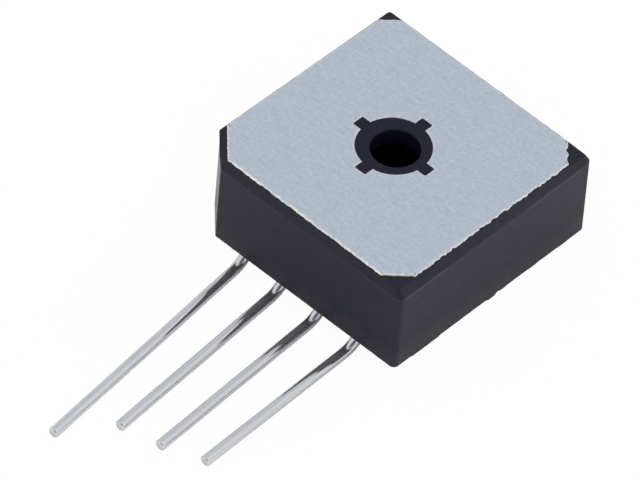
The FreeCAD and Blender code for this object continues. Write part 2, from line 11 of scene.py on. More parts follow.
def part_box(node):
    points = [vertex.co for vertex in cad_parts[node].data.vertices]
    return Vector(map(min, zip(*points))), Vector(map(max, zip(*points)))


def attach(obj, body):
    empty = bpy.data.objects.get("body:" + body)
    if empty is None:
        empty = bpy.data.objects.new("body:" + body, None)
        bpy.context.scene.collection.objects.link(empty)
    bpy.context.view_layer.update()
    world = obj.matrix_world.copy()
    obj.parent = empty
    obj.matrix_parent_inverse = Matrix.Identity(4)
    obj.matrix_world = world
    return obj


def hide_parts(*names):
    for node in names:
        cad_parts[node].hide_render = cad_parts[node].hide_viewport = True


bl_info = {
    "name": "Bridge rectifier",
    "version": (1, 0, 0),
    "blender": (4, 5, 0),
    "location": "3D View > Sidebar > Rectifier",
    "description": "Dresses the packed frame of a square bridge rectifier with wire leads",
    "category": "Object",
}

# The frame, and the sizes that the pieces take from it, in metres
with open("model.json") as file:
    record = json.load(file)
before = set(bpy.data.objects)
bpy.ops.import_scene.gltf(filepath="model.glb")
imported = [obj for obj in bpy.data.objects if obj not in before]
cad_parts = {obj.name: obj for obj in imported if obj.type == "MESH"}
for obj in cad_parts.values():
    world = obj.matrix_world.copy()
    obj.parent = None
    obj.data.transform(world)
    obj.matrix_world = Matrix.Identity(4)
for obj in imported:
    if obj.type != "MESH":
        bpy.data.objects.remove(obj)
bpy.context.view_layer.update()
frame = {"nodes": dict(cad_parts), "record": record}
MM = 0.001
BODY_LOW, BODY_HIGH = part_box("housing")
PLATE_LOW, PLATE_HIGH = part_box("base_plate")
RIM_Z = BODY_LOW.z
PLATE_BACK_Z = PLATE_LOW.z
LEDGE_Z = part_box("insulator")[0].z
FILL_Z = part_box("potting")[0].z
MOUNTS = {mount["name"]: mount for mount in frame["record"]["mounts"]}
LEADS = ("lead_positive", "lead_ac_1", "lead_ac_2", "lead_negative")

# How finely the round shapes are divided
RIDGE_SEGMENTS = 6
CORNER_SEGMENTS = 8
COLLAR_SEGMENTS = 72
KEY_SEGMENTS = 3
BORE_SEGMENTS = 96
WIRE_SEGMENTS = 40
WETTED_SEGMENTS = 48
BEND_STEPS = 28
ROUND_STEPS = 5

# Parts into which a long side of the body and its cut are divided
SIDE_PARTS = 96
CUT_PARTS = 14


def linear(code):
    """Linear colour from an sRGB hex value."""
    parts = [int(code[place:place + 2], 16) / 255 for place in (1, 3, 5)]
    return tuple(p / 12.92 if p <= 0.04045 else ((p + 0.055) / 1.055) ** 2.4 for p in parts)


# Kinds of settings: a length in millimetres, an angle in degrees, a share of one, a plain
# amount and a colour

def size(label, description, millimetres):
    return FloatProperty(
        name=label, description=description, default=millimetres * MM, unit="LENGTH", precision=6
    )


def angle(label, description, degrees):
    return FloatProperty(
        name=label, description=description, default=math.radians(degrees), subtype="ANGLE"
    )


def share(label, description, number):
    return FloatProperty(
        name=label, description=description, default=number, min=0, max=1, subtype="FACTOR"
    )


def amount(label, description, number):
    return FloatProperty(name=label, description=description, default=number, min=0)


def colour(label, description, code):
    return FloatVectorProperty(
        name=label, description=description, default=linear(code), size=3, subtype="COLOR",
        min=0, max=1,
    )


class HousingSettings(bpy.types.PropertyGroup):
    ridge_depth: size("Ridge depth", "From the plate's face down to the ridge line", 1.38)
    band_inset: size("Band inset", "How far the band leans in from the ridge to the plate", 0.345)
    wall_draft: size("Wall draft", "How far the wall leans out from the ridge to the rim", 0.075)
    corner_cut: size("Corner cut", "Leg of the cut at the positive corner", 3.25)
    edge_radius: size("Edge radius", "Rounding of the upright edges", 0.35)
    front_radius: size("Front edge radius", "Rounding of the edge at the negative lead", 0.62)
    cut_radius: size("Cut edge radius", "Rounding of the two edges of the corner cut", 0.12)
    ridge_radius: size("Ridge radius", "Rounding of the ridge line", 0.6)
    rim_radius: size("Rim radius", "Rounding of the rim's edges", 0.12)
    wall: size("Wall", "Thickness of the side walls at the rim", 1.0)
    cavity_draft: size("Cavity draft", "How much narrower the cavity is at its floor", 0.2)
    ledge_reach: size("Ledge reach", "How far the ledge stands into the cavity", 0.95)
    sink: size("Sink", "How far the plastic round the plate lies below its face", 0.16)
    flash: size("Flash", "How ragged the rim's lower edge is", 0.04)
    body_colour: colour("Moulding", "Black glass-filled moulding compound", "#0A0A1A")
    sheen_colour: colour("Gloss", "Cool cast of the compound's gloss", "#EEEDFF")
    # Painted highlight along the ridge, which also stands for the paler worn parting line
    ridge_highlight_colour: colour("Ridge highlight", "Painted highlight, and paler compound where the mould halves met", "#34343C")
    grain_size: size("Grain", "Grain of the mould's matt surface", 0.16)
    cut_roughness: share("Cut face", "Roughness of the smoother face of the corner cut", 0.3)


class PlateSettings(bpy.types.PropertyGroup):
    cut_positive: size("Positive cut", "Leg of the plate's cut at the positive corner", 3.52)
    cut_negative: size("Negative cut", "Leg of the cut at the negative corner", 2.5)
    cut_far_left: size("Far left cut", "Leg of the cut at the far left corner", 1.72)
    cut_far_right: size("Far right cut", "Leg of the cut at the far right corner", 2.3)
    grow: size("Growth", "How far the plate's sides reach beyond the drawn square", 0.04)
    shift_x: size("Shift along X", "How far the plate lies off the middle", -0.154)
    shift_y: size("Shift along Y", "How far the plate lies off the middle", -0.035)
    turn: angle("Turn", "How far the plate is turned in its seat", -0.45)
    edge_round: size("Edge rounding", "Rolled edge of the punched sheet", 0.15)
    # Strip over which the bare metal and its painted highlight fade out
    bare_highlight_width: size("Bare strip", "Width of the bare, highlighted strip along the edge", 0.13)
    step: size("Step", "Spacing of the points along the ragged edge", 0.1)
    metal: colour("Aluminium", "Rolled aluminium sheet", "#CCD5E1")
    # Bare edge: fresh metal, painted near white as a highlight
    bare_metal_highlight: colour("Bare edge highlight", "Fresh metal and painted highlight along the punched edge", "#FFFCF5")
    grain_length: size("Grain length", "Length of the rolling marks", 2.2)
    grain_width: size("Grain width", "Width of the rolling marks", 0.2)
    contrast: share("Contrast", "How strongly the marks and spots show", 0.062)


class SleeveSettings(bpy.types.PropertyGroup):
    bore: size("Bore", "Diameter of the mounting hole", 5.3)
    collar: size("Collar", "Diameter of the ring that shows in the plate", 8.0)
    shift_x: size("Shift along X", "How far the ring sits off the hole's axis", -0.33)
    shift_y: size("Shift along Y", "How far the ring sits off the hole's axis", 0.1)
    key_reach: size("Key reach", "From the ring's centre to the tip of a key", 5.05)
    key_width: size("Key width", "Width of a key", 1.48)
    key_round: size("Key rounding", "Rounding of a key's corners", 0.14)
    flange: size("Flange", "Diameter of the flange behind the plate", 9.8)
    flange_thickness: size("Flange thickness", "Height of the flange", 0.8)
    mouth: size("Mouth", "Rounding at the mouth of the hole", 0.16)
    sink: size("Sink", "How far the ring lies below the plate's face", 0.05)


class LeadSettings(bpy.types.PropertyGroup):
    tip_radius: size("Tip radius", "Rounding of a lead's tip", 0.28)
    ring_step: size("Ring step", "Spacing of the rings along a lead", 0.45)
    sway: size("Sway", "How far a lead wanders from a straight line", 0.03)
    tin: colour("Tin", "Bright tin on copper wire", "#D3D4DA")
    streak_length: size("Streak length", "Length of the drawing marks", 6.0)
    streak_width: size("Streak width", "Width of the drawing marks", 0.14)


class FillingSettings(bpy.types.PropertyGroup):
    climb: size("Climb", "How far the epoxy climbs where it wets a wall or a lead", 0.3)
    reach: size("Reach", "How far from the wall the epoxy begins to climb", 0.5)
    hidden: size("Root", "How far the raised edge reaches into what it touches", 0.03)


class StageSettings(bpy.types.PropertyGroup):
    floor_tilt: angle("Floor tilt", "Lean of the floor on which the rim and leads rest", 6.0)
    azimuth: angle("Azimuth", "Direction of the camera round the part", 39.755)
    elevation: angle("Elevation", "Height of the camera over the plate's plane", 46.863)
    roll: angle("Roll", "Turn of the camera about its own axis", -0.882)
    distance: size("Distance", "From the camera to the point it looks at", 825.49)
    lens: amount("Lens", "Focal length in millimetres on a 36 mm sensor", 453.94)
    floor_reach: size("Floor reach", "From the middle of the floor to its edges", 3000)
    floor_white: colour("Floor", "Matt white card", "#F2F2F2")
    floor_glow: share("Floor glow", "How much of the card the camera sees as pure white", 0.97)
    key_power: amount("Key light", "Power of the softbox over the part, in watts", 1.2)
    side_power: amount("Side light", "Power of the softbox beside the part, in watts", 0.4)
    back_power: amount("Back light", "Power of the softbox behind the part, in watts", 1.5)
    room_level: amount("Room", "Level of the white room round the part", 0.95)
    fill: share("Fill", "Level of the room's light on the card", 0.8)
    front_tone: colour("Front", "Tone of the dark place behind the camera", "#5C5E69")
    wall_tone: colour("Back wall", "Tone of the wall that the plate mirrors", "#E3E5E9")


# The point that the camera looks at, from the middle of the plate's face
LOOK_AT = Vector((-0.538, -10.024, -6.898)) * MM

SETTINGS = {
    "rectifier_housing": HousingSettings,
    "rectifier_plate": PlateSettings,
    "rectifier_sleeve": SleeveSettings,
    "rectifier_leads": LeadSettings,
    "rectifier_filling": FillingSettings,
    "rectifier_stage": StageSettings,
}


# Materials

def add_node(material, kind, inputs=None, **settings):
    """Adds a node to a material or world; an input may be another node's socket."""
    node = material.node_tree.nodes.new(kind)
    for name, setting in settings.items():
        setattr(node, name, setting)
    for name, given in (inputs or {}).items():
        if isinstance(given, bpy.types.NodeSocket):
            material.node_tree.links.new(given, node.inputs[name])
        else:
            node.inputs[name].default_value = given
    return node


def per(length):
    """Noise scale that gives features of this length, in metres, on Object coordinates."""
    return 1 / length


def new_material(name):
    material = bpy.data.materials.new(name)
    material.use_nodes = True
    material.node_tree.nodes.clear()
    return material


def finish_material(material, shader):
    add_node(material, "ShaderNodeOutputMaterial", {"Surface": shader.outputs[0]})
    return material


def shade(base, factor):
    """A colour made lighter or darker, with its alpha."""
    return tuple(min(1, channel * factor) for channel in base) + (1,)


def moulding_material(name, settings, ior):
    # Glass-filled epoxy compound, moulded in a spark-eroded tool: black and matt, a little
    # uneven in tone, with a painted highlight along the ridge that also stands for the worn
    # parting line. The tool's grain is finer than the picture can show, so it is drawn coarser.
    material = new_material(name)
    base = tuple(settings.body_colour)
    place = add_node(material, "ShaderNodeTexCoord").outputs["Object"]
    pores = add_node(material, "ShaderNodeTexNoise", {
        "Vector": place, "Scale": per(settings.grain_size), "Detail": 3, "Roughness": 0.6,
    })
    patches = add_node(material, "ShaderNodeTexNoise", {
        "Vector": place, "Scale": per(2.6 * MM), "Detail": 4, "Roughness": 0.55,
    })
    tone = add_node(material, "ShaderNodeMix", {
        "Factor": patches.outputs["Fac"], "A": shade(base, 0.8), "B": shade(base, 1.25),
    }, data_type="RGBA")
    # The painted highlight, which also stands for the parting line, lies a little below the ridge
    # and fades above and below its core
    line_depth = settings.ridge_depth + 0.1 * MM
    core, faded = 0.04 * MM, 0.24 * MM
    height = add_node(material, "ShaderNodeSeparateXYZ", {"Vector": place})
    above = add_node(material, "ShaderNodeMath", {
        0: height.outputs["Z"], 1: line_depth,
    }, operation="ADD")
    away = add_node(material, "ShaderNodeMath", {0: above.outputs["Value"]}, operation="ABSOLUTE")
    line = add_node(material, "ShaderNodeMapRange", {
        "Value": away.outputs["Value"], "From Min": core, "From Max": faded,
        "To Min": 1, "To Max": 0,
    }, interpolation_type="SMOOTHSTEP")
    # Painted highlight: a paler tone mixed in along the ridge, strongest where the points are
    # marked for it
    ridge_highlight = add_node(material, "ShaderNodeAttribute", attribute_name="ridge_highlight")
    highlight_share = add_node(material, "ShaderNodeMath", {
        0: line.outputs["Result"], 1: ridge_highlight.outputs["Fac"],
    }, operation="MULTIPLY")
    tone = add_node(material, "ShaderNodeMix", {
        "Factor": highlight_share.outputs["Value"], "A": tone.outputs["Result"],
        "B": tuple(settings.ridge_highlight_colour) + (1,),
    }, data_type="RGBA")
    gloss = add_node(material, "ShaderNodeMapRange", {
        "Value": pores.outputs["Fac"], "From Min": 0.3, "From Max": 0.7,
        "To Min": 0.46, "To Max": 0.58,
    })
    # The tool's insert for the corner cut was smoother, so its face is glossier
    cut = add_node(material, "ShaderNodeAttribute", attribute_name="cut")
    gloss = add_node(material, "ShaderNodeMix", {
        "Factor": cut.outputs["Fac"], "A": gloss.outputs["Result"],
        "B": settings.cut_roughness,
    })
    relief = add_node(material, "ShaderNodeBump", {
        "Height": pores.outputs["Fac"], "Strength": 0.45, "Distance": 0.03 * MM,
    })
    shader = add_node(material, "ShaderNodeBsdfPrincipled", {
        "Base Color": tone.outputs["Result"], "Roughness": gloss.outputs["Result"],
        "IOR": ior, "Specular Tint": tuple(settings.sheen_colour) + (1,),
        "Normal": relief.outputs["Normal"],
    })
    return finish_material(material, shader)


def sheet_material(settings):
    # Aluminium sheet, cold rolled and punched: fine straight rolling marks, a soft mottle
    # and a dull sheen, with bright bare metal in places along the punched edge, painted near
    # white as a highlight too. The marks are finer than the picture can show, so they are drawn
    # wider.
    material = new_material("rolled_aluminium")
    place = add_node(material, "ShaderNodeTexCoord").outputs["Object"]
    across = per(settings.grain_width)
    along = add_node(material, "ShaderNodeMapping", {
        "Vector": place, "Scale": (per(settings.grain_length), across, across),
    })
    marks = add_node(material, "ShaderNodeTexNoise", {
        "Vector": along.outputs["Vector"], "Scale": 1, "Detail": 4, "Roughness": 0.65,
    })
    mottle = add_node(material, "ShaderNodeTexNoise", {
        "Vector": place, "Scale": per(0.45 * MM), "Detail": 3, "Roughness": 0.7,
    })
    clouds = add_node(material, "ShaderNodeTexNoise", {
        "Vector": place, "Scale": per(3.5 * MM), "Detail": 2, "Roughness": 0.5,
    })
    base = tuple(settings.metal)
    grain = add_node(material, "ShaderNodeMapRange", {
        "Value": marks.outputs["Fac"], "From Min": 0.35, "From Max": 0.65,
        "To Min": 1 - settings.contrast, "To Max": 1 + settings.contrast,
    })
    spots = add_node(material, "ShaderNodeMapRange", {
        "Value": mottle.outputs["Fac"], "From Min": 0.35, "From Max": 0.65,
        "To Min": 1 - settings.contrast, "To Max": 1 + settings.contrast,
    })
    level = add_node(material, "ShaderNodeMath", {
        0: grain.outputs["Result"], 1: spots.outputs["Result"],
    }, operation="MULTIPLY")
    cast = add_node(material, "ShaderNodeMix", {
        "Factor": clouds.outputs["Fac"], "A": shade(base, 0.98),
        "B": (base[0] * 1.04, base[1], base[2] * 0.99, 1),
    }, data_type="RGBA")
    tone = add_node(material, "ShaderNodeVectorMath", {
        0: cast.outputs["Result"], "Scale": level.outputs["Value"],
    }, operation="SCALE")
    # Painted highlight along the punched edge, on bare metal: a near-white tone, strongest on the
    # front sides
    edge = add_node(material, "ShaderNodeAttribute", attribute_name="edge")
    specks = add_node(material, "ShaderNodeMapRange", {
        "Value": mottle.outputs["Fac"], "From Min": 0.4, "From Max": 0.6,
        "To Min": 0.25, "To Max": 1,
    })
    bare_and_highlight = add_node(material, "ShaderNodeMath", {
        0: edge.outputs["Fac"], 1: specks.outputs["Result"],
    }, operation="MULTIPLY")
    tone = add_node(material, "ShaderNodeMix", {
        "Factor": bare_and_highlight.outputs["Value"], "A": tone.outputs["Vector"],
        "B": tuple(settings.bare_metal_highlight) + (1,),
    }, data_type="RGBA")
    gloss = add_node(material, "ShaderNodeMapRange", {
        "Value": marks.outputs["Fac"], "From Min": 0.3, "From Max": 0.7,
        "To Min": 0.4, "To Max": 0.5,
    })
    gloss = add_node(material, "ShaderNodeMix", {
        "Factor": edge.outputs["Fac"], "A": gloss.outputs["Result"], "B": 0.5,
    })
    relief = add_node(material, "ShaderNodeBump", {
        "Height": marks.outputs["Fac"], "Strength": 0.25, "Distance": 0.01 * MM,
    })
    shader = add_node(material, "ShaderNodeBsdfPrincipled", {
        "Base Color": tone.outputs["Result"], "Metallic": 1,
        "Roughness": gloss.outputs["Result"], "Normal": relief.outputs["Normal"],
    })
    return finish_material(material, shader)


def wire_material(settings):
    # Copper wire, drawn through a die and dipped in tin: a bright, smooth mirror with faint
    # marks along it, which are drawn wider than they are so that they show. The tin's thin
    # skin of oxide scatters a little light, so the wire isn't quite fully metallic.
    material = new_material("tinned_wire")
    around = add_node(material, "ShaderNodeAttribute", attribute_name="around")
    along = add_node(material, "ShaderNodeAttribute", attribute_name="along")
    turn = add_node(material, "ShaderNodeVectorMath", {
        0: around.outputs["Vector"], "Scale": per(settings.streak_width),
    }, operation="SCALE")
    run = add_node(material, "ShaderNodeMath", {
        0: along.outputs["Fac"], 1: per(settings.streak_length),
    }, operation="MULTIPLY")
    run = add_node(material, "ShaderNodeCombineXYZ", {"Z": run.outputs["Value"]})
    place = add_node(material, "ShaderNodeVectorMath", {
        0: turn.outputs["Vector"], 1: run.outputs["Vector"],
    }, operation="ADD")
    streaks = add_node(material, "ShaderNodeTexNoise", {
        "Vector": place.outputs["Vector"], "Scale": 1, "Detail": 3, "Roughness": 0.6,
    })
    base = tuple(settings.tin)
    tone = add_node(material, "ShaderNodeMix", {
        "Factor": streaks.outputs["Fac"], "A": shade(base, 0.74), "B": shade(base, 1.2),
    }, data_type="RGBA")
    gloss = add_node(material, "ShaderNodeMapRange", {
        "Value": streaks.outputs["Fac"], "From Min": 0.3, "From Max": 0.7,
        "To Min": 0.07, "To Max": 0.13,
    })
    shader = add_node(material, "ShaderNodeBsdfPrincipled", {
        "Base Color": tone.outputs["Result"], "Metallic": 0.89,
        "Roughness": gloss.outputs["Result"],
    })
    return finish_material(material, shader)


def mottled_material(name, code, grain, roughness, metallic):
    # Plain surfaces of the filling and the inner pieces: their tone and gloss drift a little
    # from place to place, as casting, firing, rolling or melting leaves them
    material = new_material(name)
    place = add_node(material, "ShaderNodeTexCoord").outputs["Object"]
    patches = add_node(material, "ShaderNodeTexNoise", {
        "Vector": place, "Scale": per(grain * MM), "Detail": 4, "Roughness": 0.6,
    })
    base = linear(code)
    tone = add_node(material, "ShaderNodeMix", {
        "Factor": patches.outputs["Fac"], "A": shade(base, 0.85), "B": shade(base, 1.12),
    }, data_type="RGBA")
    gloss = add_node(material, "ShaderNodeMapRange", {
        "Value": patches.outputs["Fac"], "From Min": 0.3, "From Max": 0.7,
        "To Min": roughness * 0.85, "To Max": min(1, roughness * 1.15),
    })
    relief = add_node(material, "ShaderNodeBump", {
        "Height": patches.outputs["Fac"], "Strength": 0.2, "Distance": 0.02 * MM,
    })
    shader = add_node(material, "ShaderNodeBsdfPrincipled", {
        "Base Color": tone.outputs["Result"], "Metallic": metallic,
        "Roughness": gloss.outputs["Result"], "Normal": relief.outputs["Normal"],
    })
    return finish_material(material, shader)


# Materials of the filling and the inner pieces: name, tone, grain in millimetres,
# roughness and metallic share
FINISHES = {
    # Epoxy with silica, cast and cured in the open: black, smooth and softly glossy
    "potting": ("cast_epoxy", "#17171A", 1.6, 0.32, 0.0),
    # Alumina, pressed and fired: off-white and matt
    "insulator": ("alumina", "#E4E2DA", 0.4, 0.7, 0.0),
    # Copper, rolled and stamped: a warm red metal with a satin face
    "copper": ("rolled_copper", "#C77F5A", 0.8, 0.35, 1.0),
    # Silicon, sawn, with plated faces: grey and nearly a mirror
    "chip": ("plated_silicon", "#4A4D55", 0.5, 0.25, 1.0),
    # Soft solder, melted and set again: pale grey, with a soft, uneven shine
    "solder": ("soft_solder", "#B5B4AE", 0.3, 0.4, 1.0),
}


# Shapes that several pieces share

def free_edges(made):
    """The free edges among the things that an operator made."""
    return [item for item in made if isinstance(item, bmesh.types.BMEdge) and item.is_boundary]


def extrude(bm, edges):
    """Extrudes a loop of edges and gives its new points and its new free edges."""
    made = bmesh.ops.extrude_edge_only(bm, edges=edges)["geom"]
    return [item for item in made if isinstance(item, bmesh.types.BMVert)], free_edges(made)


def follow(bm, edges, profile, centre=Vector()):
    """Extrudes a flat loop of edges through a profile of (half width, height) points."""
    for (width, height), (next_width, next_height) in zip(profile, profile[1:]):
        factor = next_width / width
        verts, edges = extrude(bm, edges)
        bmesh.ops.scale(
            bm, verts=verts, vec=(factor, factor, 1), space=Matrix.Translation(-centre)
        )
        bmesh.ops.translate(bm, verts=verts, vec=(0, 0, next_height - height))
    return edges


def outward(vert):
    """Direction straight out of a flat loop at one of its points."""
    before, after = [
        edge.other_vert(vert).co for edge in vert.link_edges if edge.is_boundary or edge.is_wire
    ]
    tangent = (after - before).normalized()
    normal = Vector((tangent.y, -tangent.x, 0))
    return normal if normal.dot(vert.co) > 0 else -normal


def step_out(bm, edges, out, rise):
    """Extrudes a flat loop of edges, with its new points moved out of the loop and up."""
    verts, edges = extrude(bm, edges)
    ways = [outward(vert) for vert in verts]
    for vert, way in zip(verts, ways):
        vert.co += way * out + Vector((0, 0, rise))
    return verts, edges


def quarter_turn():
    """Sine and cosine at each step of a quarter turn, for a rounded edge."""
    leans = [step / ROUND_STEPS * math.pi / 2 for step in range(ROUND_STEPS + 1)]
    return [(math.sin(lean), math.cos(lean)) for lean in leans]


def close_between(bm, loops):
    """Flat faces between loops that lie in one plane."""
    bmesh.ops.triangle_fill(bm, use_beauty=True, use_dissolve=False, edges=loops)


def soften(points, radius, segments):
    """Open polyline with each inner corner replaced by an arc."""
    path = [points[0]]
    for before, corner, after in zip(points, points[1:], points[2:]):
        back = (before - corner).normalized()
        ahead = (after - corner).normalized()
        half = back.angle(ahead) / 2
        reach = min(radius / math.tan(half), (before - corner).length / 2,
                    (after - corner).length / 2)
        real = reach * math.tan(half)
        centre = corner + (back + ahead).normalized() * (real / math.sin(half))
        start = corner + back * reach - centre
        end = corner + ahead * reach - centre
        path += [centre + start.slerp(end, k / segments) * real for k in range(segments + 1)]
    path.append(points[-1])
    return path


def cut_square(bm, half, cuts, z):
    """Square face whose corners are cut off, from the front left one anticlockwise."""
    made = bmesh.ops.create_grid(
        bm, x_segments=1, y_segments=1, size=half, matrix=Matrix.Translation((0, 0, z))
    )
    face = made["verts"][0].link_faces[0]
    for (x, y), cut in zip(((-1, -1), (1, -1), (1, 1), (-1, 1)), cuts):
        if cut:
            kept = bmesh.ops.bisect_plane(
                bm, geom=face.verts[:] + face.edges[:] + [face], clear_outer=True,
                plane_co=(x * (half - cut), y * half, z), plane_no=(x, y, 0),
            )["geom"]
            face = next(item for item in kept if isinstance(item, bmesh.types.BMFace))
    return face


def divide_sides(bm, edges, parts_of):
    """Splits each edge of a free loop into equal parts, as many as its length asks for."""
    others = {edge for edge in bm.edges if edge.is_wire} - set(edges)
    for edge in edges:
        parts = parts_of(edge.calc_length())
        if parts > 1:
            bmesh.ops.subdivide_edges(bm, edges=[edge], cuts=parts - 1)
    return [edge for edge in bm.edges if edge.is_wire and edge not in others]


def opened(bm, face):
    """Takes the face away and gives the loop of edges round it."""
    edges = face.edges[:]
    bmesh.ops.delete(bm, geom=[face], context="FACES_ONLY")
    return edges


def smooth(bm, crease):
    """Smooth shading, but crisp at sharp edges and round every level face."""
    bm.normal_update()
    for face in bm.faces:
        face.smooth = True
    for edge in bm.edges:
        if len(edge.link_faces) == 2:
            level = [abs(face.normal.z) > 0.9999 for face in edge.link_faces]
            edge.smooth = level[0] == level[1] and edge.calc_face_angle() < crease


def to_object(bm, name, material):
    """Turns a bmesh into an object of the scene."""
    mesh = bpy.data.meshes.new(name)
    bm.to_mesh(mesh)
    bm.free()
    mesh.materials.append(material)
    made = bpy.data.objects.new(name, mesh)
    bpy.context.scene.collection.objects.link(made)
    return made


def finish_piece(bm, name, material, replaced, crease=40):
    """Makes a piece that rides on the body and stands for a node of the frame, if any."""
    bmesh.ops.remove_doubles(bm, verts=bm.verts, dist=0.0005 * MM)
    bmesh.ops.recalc_face_normals(bm, faces=bm.faces)
    smooth(bm, math.radians(crease))
    piece = to_object(bm, name, material)
    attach(piece, "root")
    if replaced:
        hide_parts(replaced)


# Flash on the right rim: from where to where it runs along Y and how far it hangs down,
# in millimetres; a height below nothing is a notch. Each stretch runs out at its ends.
RIM_FLASH = ((-0.5, 1.05, 0.2), (1.05, 1.5, -0.12), (1.5, 2.6, 0.07), (-11.8, -7.4, 0.13),
             (5.8, 7.3, 0.05), (10.2, 12.0, 0.06))
FLASH_ENDS = 0.25

# Length of the waves in the rim's lower edge
RIM_WAVES = 0.9 * MM

# The far right corner, sunk as the compound shrank: how far that reaches and how wide it
# spreads, and in millimetres how the plastic's face moves and how far the ridge rises
SINK_REACH = 6 * MM
SINK_SPREAD = 2.2 * MM
SINK_SHIFT = Vector((0.12, 0.12, -0.24))
RIDGE_RISE = 0.3

# How a lead wanders: length of its waves, and how far past the bend they grow to full size
SWAY_WAVES = 7 * MM
SWAY_START = 4 * MM

# Stretches of the ridge with the painted highlight, which also stands for wear: direction that
# the wall faces, from where to where along it in millimetres, and how strongly the line shows
RIDGE_HIGHLIGHT = (
    ((1, 0), -14.4, -7.2, 1.0), ((1, 0), -7.2, 5.0, 0.2), ((1, 0), 5.0, 12.5, 0.75),
    ((0, -1), 7.5, 14.4, 0.3), ((0, -1), -11.0, 7.5, 0.15),
)

# Sides of the plate by the direction they face, with the length and depth of their nibbles
# in millimetres and how strongly bare metal and a painted highlight show along them
NIBBLES = (
    (Vector((0, -1, 0)), 0.45, 0.09, 1.0),
    (Vector((1, -1, 0)).normalized(), 0.5, 0.1, 1.0),
    (Vector((1, 0, 0)), 0.55, 0.17, 0.55),
    (Vector((1, 1, 0)).normalized(), 0.7, 0.3, 0.15),
    (Vector((0, 1, 0)), 0.9, 0.05, 0.25),
    (Vector((-1, 1, 0)).normalized(), 1.0, 0.1, 0.3),
    (Vector((-1, 0, 0)), 1.5, 0.03, 0.25),
    (Vector((-1, -1, 0)).normalized(), 0.5, 0.05, 0.8),
)

# How strongly bare metal and a painted highlight show along the keyed hole
KEYHOLE_BARE_HIGHLIGHT = 0.3


def side_of(way):
    """The row of the table for the side that faces this way."""
    return max(NIBBLES, key=lambda habit: habit[0].dot(way))


def nibble(place, way):
    """How deep the shears' nibbles reach in at a place on the plate's edge."""
    _, length, depth, _ = side_of(way)
    at = place / (length * MM)
    wave = noise.noise(Vector((at.x, at.y, depth * 40)))
    ripple = noise.noise(Vector((at.x, at.y, 5)) * 2.3)
    return min(1, max(0, 0.4 + 0.9 * wave + 0.5 * ripple)) * depth * MM


def seat(bm, edges, settings):
    """Moves a flat loop from the middle to where the plate sits, a little off and turned."""
    verts = list({vert for edge in edges for vert in edge.verts})
    bmesh.ops.rotate(
        bm, verts=verts, cent=(0, 0, 0), matrix=Matrix.Rotation(settings.turn, 3, "Z")
    )
    bmesh.ops.translate(bm, verts=verts, vec=(settings.shift_x, settings.shift_y, 0))


def plate_loop(bm, settings, z):
    """Outline of the plate's face, with the nibbles that the shears left in it."""
    cuts = (settings.cut_positive, settings.cut_negative,
            settings.cut_far_right, settings.cut_far_left)
    edges = opened(bm, cut_square(bm, PLATE_HIGH.x + settings.grow, cuts, z))
    edges = divide_sides(bm, edges, lambda length: round(length / settings.step))
    verts = {vert for edge in edges for vert in edge.verts}
    ways = {vert: outward(vert) for vert in verts}
    for vert, way in ways.items():
        vert.co -= way * nibble(vert.co, way)
    seat(bm, edges, settings)
    return edges


def keyed_loop(bm, settings, z):
    """Outline of the ring with its four keys."""
    older = set(bm.faces)
    centre = Vector((settings.shift_x, settings.shift_y, z))
    ring = bmesh.ops.create_circle(
        bm, cap_ends=True, segments=COLLAR_SEGMENTS, radius=settings.collar / 2,
        matrix=Matrix.Translation(centre),
    )["verts"]
    for x, y in ((1, 0), (0, 1), (-1, 0), (0, -1)):
        way = Vector((x, y, 0))
        side = Vector((-y, x, 0))
        root = [
            vert for vert in ring
            if (vert.co - centre).dot(way) > 0
            and abs((vert.co - centre).dot(side)) < settings.key_width / 2 * 1.05
        ]
        edges = [edge for edge in bm.edges if edge.verts[0] in root and edge.verts[1] in root]
        tip, _ = extrude(bm, edges)
        for vert in tip:
            across = (vert.co - centre).dot(side)
            vert.co = centre + way * settings.key_reach + side * across
        tip.sort(key=lambda vert: (vert.co - centre).dot(side))
        bmesh.ops.bevel(
            bm, geom=[tip[0], tip[-1]], affect="VERTICES", offset=settings.key_round,
            segments=KEY_SEGMENTS, profile=0.5, material=-1,
        )
    fresh = [face for face in bm.faces if face not in older]
    bmesh.ops.dissolve_faces(bm, faces=fresh, use_verts=False)
    keyed = next(face for face in bm.faces if face not in older)
    return opened(bm, keyed)


def round_loop(bm, radius, z, centre=Vector(), segments=BORE_SEGMENTS):
    """Circle of edges round the hole's axis, or beside it."""
    made = bmesh.ops.create_circle(
        bm, segments=segments, radius=radius,
        matrix=Matrix.Translation(centre + Vector((0, 0, z))),
    )
    return list({edge for vert in made["verts"] for edge in vert.link_edges})


def body_ring(bm, own, half, cut, z):
    """Outline of the body with rounded corners, as a loop of its own."""
    older = set(bm.faces)
    corners = cut_square(bm, half, (cut, 0, 0, 0), z).verts[:]
    front = [vert for vert in corners if vert.co.x > half * 0.99 and vert.co.y < 0]
    far = [vert for vert in corners if vert.co.y > half * 0.99]
    rest = [vert for vert in corners if vert not in front + far]
    # The front edge is rounder, but only from the ridge down
    down = min(1, -z / own.ridge_depth)
    front_radius = own.edge_radius + (own.front_radius - own.edge_radius) * down
    for verts, radius in ((front, front_radius), (far, own.edge_radius), (rest, own.cut_radius)):
        bmesh.ops.bevel(
            bm, geom=verts, affect="VERTICES", offset=radius, segments=CORNER_SEGMENTS,
            profile=0.5, material=-1,
        )
    edges = opened(bm, next(face for face in bm.faces if face not in older))
    return divide_sides(
        bm, edges,
        lambda length: SIDE_PARTS if length > half else CUT_PARTS if length > MM else 1,
    )


def inner_cut(own, half):
    """Leg of the corner cut inside the body, where it keeps the walls' thickness."""
    return own.corner_cut - (BODY_HIGH.x - own.wall_draft - half) * (2 - math.sqrt(2))


